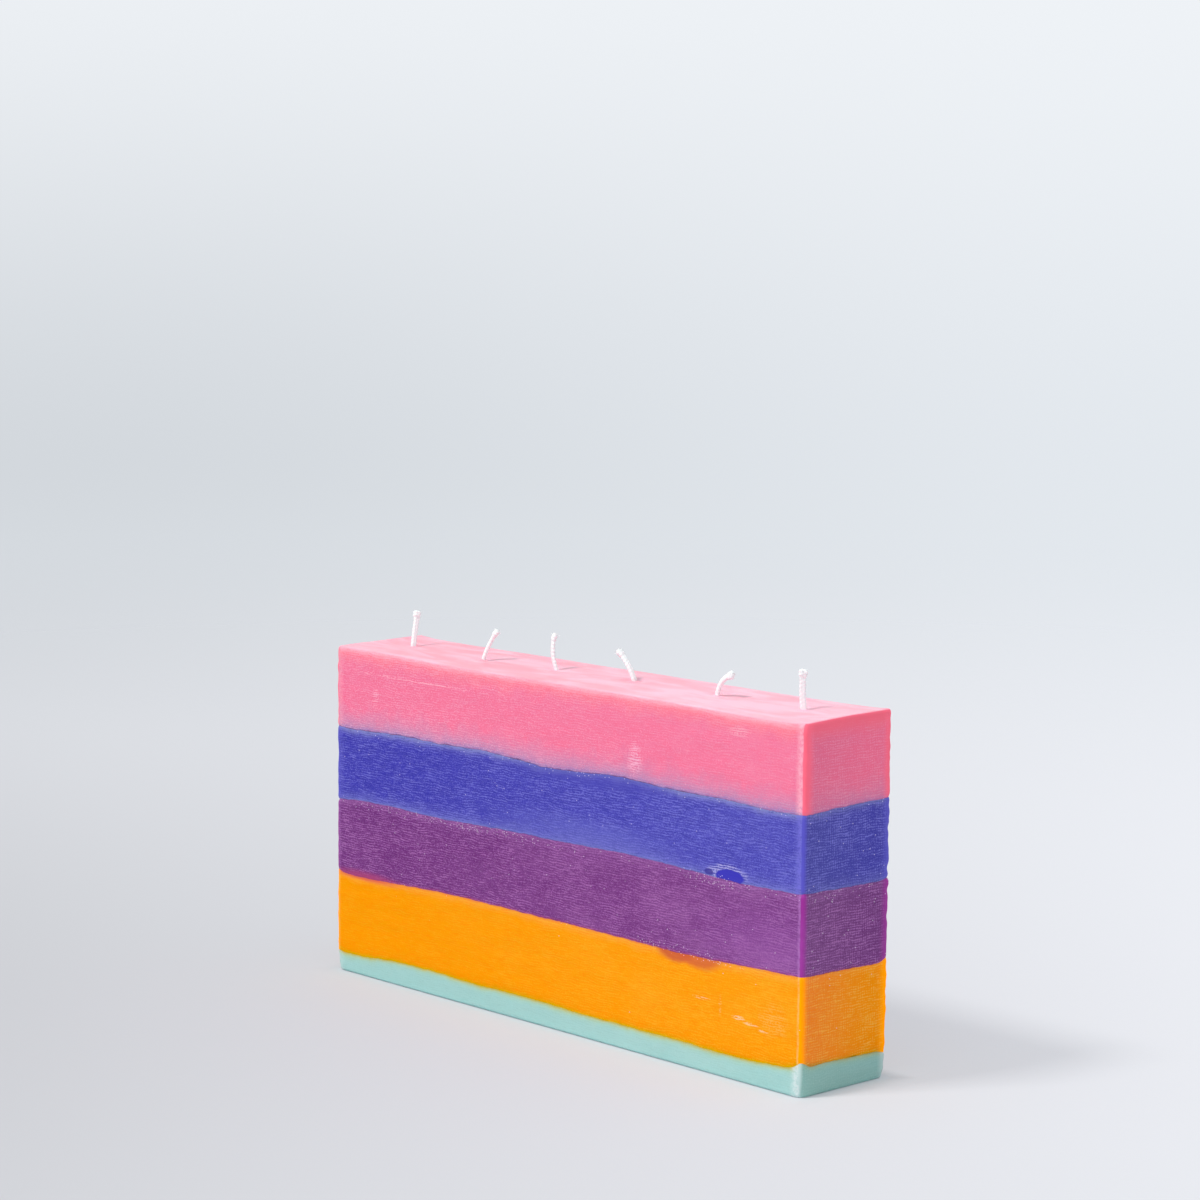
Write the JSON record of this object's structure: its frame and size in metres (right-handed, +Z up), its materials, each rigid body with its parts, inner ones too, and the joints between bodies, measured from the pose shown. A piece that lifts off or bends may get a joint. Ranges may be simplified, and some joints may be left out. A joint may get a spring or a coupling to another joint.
{
  "type": "long block candle",
  "caption": "Long rectangular block candle of coloured wax poured in layers, with a row of waxed cotton wicks along its top.",
  "frame": {"origin": "middle of the base, on the surface the candle stands on", "axes": "+X along the long side, -Y out of the long front, +Z up the wicks"},
  "size_m": [0.2344, 0.0402, 0.1332],
  "materials": {
    "mint_wax": "satin cast wax, slightly translucent",
    "orange_wax": "satin cast wax with fine mould lines, slightly translucent",
    "purple_wax": "satin cast wax with fine mould lines, slightly translucent",
    "blue_wax": "satin cast wax with fine mould lines, slightly translucent",
    "pink_wax": "satin cast wax with fine mould lines, slightly translucent",
    "waxed_cotton": "plied cotton dipped in clear wax",
    "tinned_steel": "pressed tinned steel"
  },
  "bodies": {
    "root": {"mint_wax_layer": "mint_wax", "orange_wax_layer": "orange_wax", "purple_wax_layer": "purple_wax", "blue_wax_layer": "blue_wax", "pink_wax_layer": "pink_wax", "wick_1": "waxed_cotton", "wick_2": "waxed_cotton", "wick_3": "waxed_cotton", "wick_4": "waxed_cotton", "wick_5": "waxed_cotton", "wick_6": "waxed_cotton", "wick_tab_1": "tinned_steel", "wick_tab_2": "tinned_steel", "wick_tab_3": "tinned_steel", "wick_tab_4": "tinned_steel", "wick_tab_5": "tinned_steel", "wick_tab_6": "tinned_steel"}
  },
  "joints": []
}
